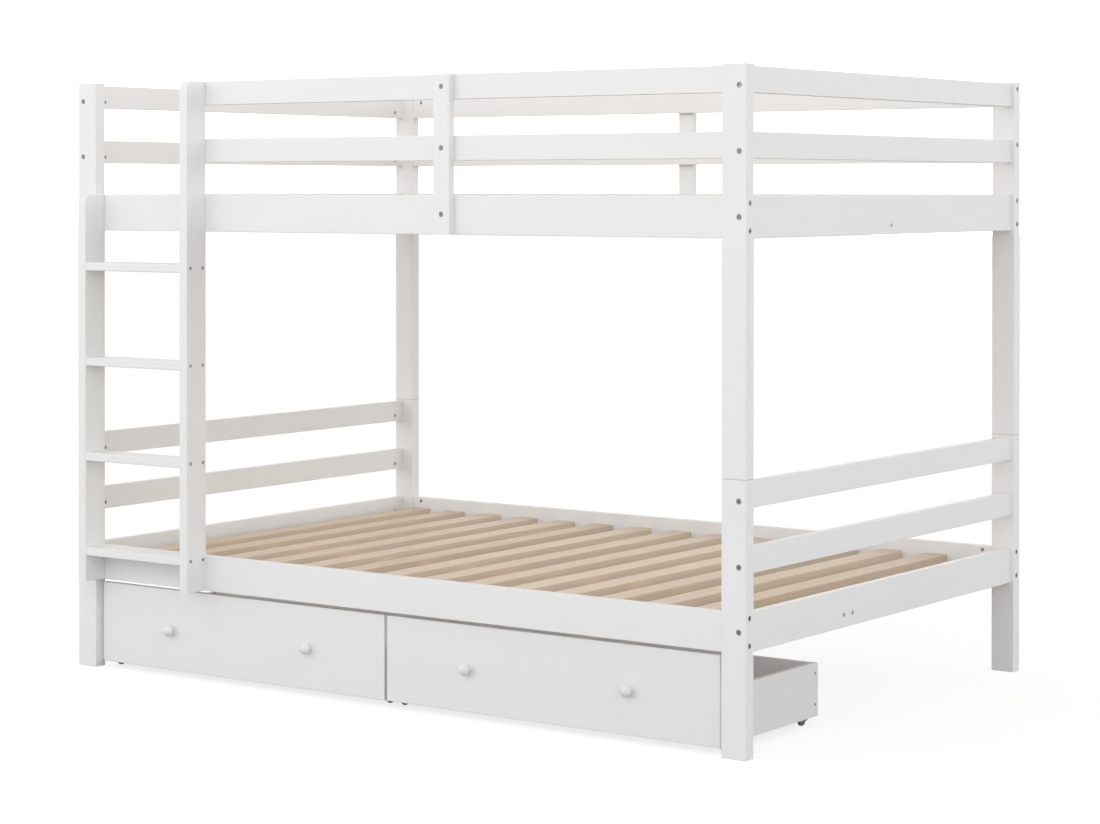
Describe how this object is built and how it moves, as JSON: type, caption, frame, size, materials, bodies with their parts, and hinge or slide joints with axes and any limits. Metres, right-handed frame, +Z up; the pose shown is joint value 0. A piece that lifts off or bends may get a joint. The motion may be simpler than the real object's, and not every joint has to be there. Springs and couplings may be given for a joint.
{
  "type": "bunk bed",
  "caption": "Painted wooden bunk bed with bare slats, guard rails, a fixed front ladder and rolling drawers under the lower bunk.",
  "frame": {"origin": "on the floor, in the middle of the footprint of posts, ladder and rear guard stile", "axes": "+X along the bed away from the ladder, +Y from the ladder side to the rear, +Z up"},
  "size_m": [2.054, 1.522, 1.56],
  "materials": {
    "white_paint": "satin white paint on pine",
    "drawer_board": "satin white painted board",
    "knob_paint": "semi-gloss white paint",
    "bare_pine": "planed bare pine",
    "bolt_steel": "dark nickel plated",
    "zinc_steel": "zinc plated",
    "caster_plastic": "moulded",
    "caster_wheel": "moulded"
  },
  "bodies": {
    "bed_frame": {"bolt_nuts": "bolt_steel", "frame_bolts": "bolt_steel", "front_guard_rails": "white_paint", "front_guard_stile": "white_paint", "ladder_stile_left": "white_paint", "ladder_stile_right": "white_paint", "ladder_treads": "white_paint", "lower_end_guard_rails_left": "white_paint", "lower_end_guard_rails_right": "white_paint", "lower_end_rail_left": "white_paint", "lower_end_rail_right": "white_paint", "lower_post_front_left": "white_paint", "lower_post_front_right": "white_paint", "lower_post_rear_left": "white_paint", "lower_post_rear_right": "white_paint", "lower_side_rail_front": "white_paint", "lower_side_rail_rear": "white_paint", "lower_slats": "bare_pine", "post_joint_pins": "zinc_steel", "rear_guard_rails": "white_paint", "rear_guard_stile": "white_paint", "slat_ledgers": "white_paint", "slat_support_beams": "white_paint", "upper_end_guard_rails_left": "white_paint", "upper_end_guard_rails_right": "white_paint", "upper_end_rail_left": "white_paint", "upper_end_rail_right": "white_paint", "upper_post_front_left": "white_paint", "upper_post_front_right": "white_paint", "upper_post_rear_left": "white_paint", "upper_post_rear_right": "white_paint", "upper_side_rail_front": "white_paint", "upper_side_rail_rear": "white_paint", "upper_slats": "bare_pine", "wood_dowels": "bare_pine", "wood_screws": "zinc_steel"},
    "drawer_left": {"drawer_left_back": "drawer_board", "drawer_left_caster_axles": "zinc_steel", "drawer_left_caster_brackets": "caster_plastic", "drawer_left_fasteners": "zinc_steel", "drawer_left_floor": "drawer_board", "drawer_left_front": "drawer_board", "drawer_left_knobs": "knob_paint", "drawer_left_sides": "drawer_board"},
    "drawer_right": {"drawer_right_back": "drawer_board", "drawer_right_caster_axles": "zinc_steel", "drawer_right_caster_brackets": "caster_plastic", "drawer_right_fasteners": "zinc_steel", "drawer_right_floor": "drawer_board", "drawer_right_front": "drawer_board", "drawer_right_knobs": "knob_paint", "drawer_right_sides": "drawer_board"},
    "left_caster_front_left": {"drawer_left_wheel_front_left": "caster_wheel"},
    "left_caster_front_right": {"drawer_left_wheel_front_right": "caster_wheel"},
    "left_caster_rear_left": {"drawer_left_wheel_rear_left": "caster_wheel"},
    "left_caster_rear_right": {"drawer_left_wheel_rear_right": "caster_wheel"},
    "right_caster_front_left": {"drawer_right_wheel_front_left": "caster_wheel"},
    "right_caster_front_right": {"drawer_right_wheel_front_right": "caster_wheel"},
    "right_caster_rear_left": {"drawer_right_wheel_rear_left": "caster_wheel"},
    "right_caster_rear_right": {"drawer_right_wheel_rear_right": "caster_wheel"}
  },
  "joints": [
    {"name": "drawer_left_roll", "type": "slide", "parent": "bed_frame", "child": "drawer_left", "axis": [0, -1, 0], "range_m": [0, 0.6]},
    {"name": "drawer_right_roll", "type": "slide", "parent": "bed_frame", "child": "drawer_right", "axis": [0, -1, 0], "range_m": [0, 0.6]},
    {"name": "left_caster_front_left_spin", "type": "hinge", "parent": "drawer_left", "child": "left_caster_front_left", "pos_m": [-0.9375, -0.622, 0.015], "axis": [1, 0, 0], "range_deg": [0, 2295]},
    {"name": "left_caster_front_right_spin", "type": "hinge", "parent": "drawer_left", "child": "left_caster_front_right", "pos_m": [-0.0265, -0.622, 0.015], "axis": [1, 0, 0], "range_deg": [0, 2295]},
    {"name": "left_caster_rear_left_spin", "type": "hinge", "parent": "drawer_left", "child": "left_caster_rear_left", "pos_m": [-0.9375, -0.262, 0.015], "axis": [1, 0, 0], "range_deg": [0, 2295]},
    {"name": "left_caster_rear_right_spin", "type": "hinge", "parent": "drawer_left", "child": "left_caster_rear_right", "pos_m": [-0.0265, -0.262, 0.015], "axis": [1, 0, 0], "range_deg": [0, 2295]},
    {"name": "right_caster_front_left_spin", "type": "hinge", "parent": "drawer_right", "child": "right_caster_front_left", "pos_m": [0.019, -0.622, 0.015], "axis": [1, 0, 0], "range_deg": [0, 2295]},
    {"name": "right_caster_front_right_spin", "type": "hinge", "parent": "drawer_right", "child": "right_caster_front_right", "pos_m": [0.93, -0.622, 0.015], "axis": [1, 0, 0], "range_deg": [0, 2295]},
    {"name": "right_caster_rear_left_spin", "type": "hinge", "parent": "drawer_right", "child": "right_caster_rear_left", "pos_m": [0.019, -0.262, 0.015], "axis": [1, 0, 0], "range_deg": [0, 2295]},
    {"name": "right_caster_rear_right_spin", "type": "hinge", "parent": "drawer_right", "child": "right_caster_rear_right", "pos_m": [0.93, -0.262, 0.015], "axis": [1, 0, 0], "range_deg": [0, 2295]}
  ],
  "couplings": [
    {"joint": "left_caster_front_left_spin", "follows": "drawer_left_roll", "rad_per_m": 66.667},
    {"joint": "left_caster_front_right_spin", "follows": "drawer_left_roll", "rad_per_m": 66.667},
    {"joint": "left_caster_rear_left_spin", "follows": "drawer_left_roll", "rad_per_m": 66.667},
    {"joint": "left_caster_rear_right_spin", "follows": "drawer_left_roll", "rad_per_m": 66.667},
    {"joint": "right_caster_front_left_spin", "follows": "drawer_right_roll", "rad_per_m": 66.667},
    {"joint": "right_caster_front_right_spin", "follows": "drawer_right_roll", "rad_per_m": 66.667},
    {"joint": "right_caster_rear_left_spin", "follows": "drawer_right_roll", "rad_per_m": 66.667},
    {"joint": "right_caster_rear_right_spin", "follows": "drawer_right_roll", "rad_per_m": 66.667}
  ]
}
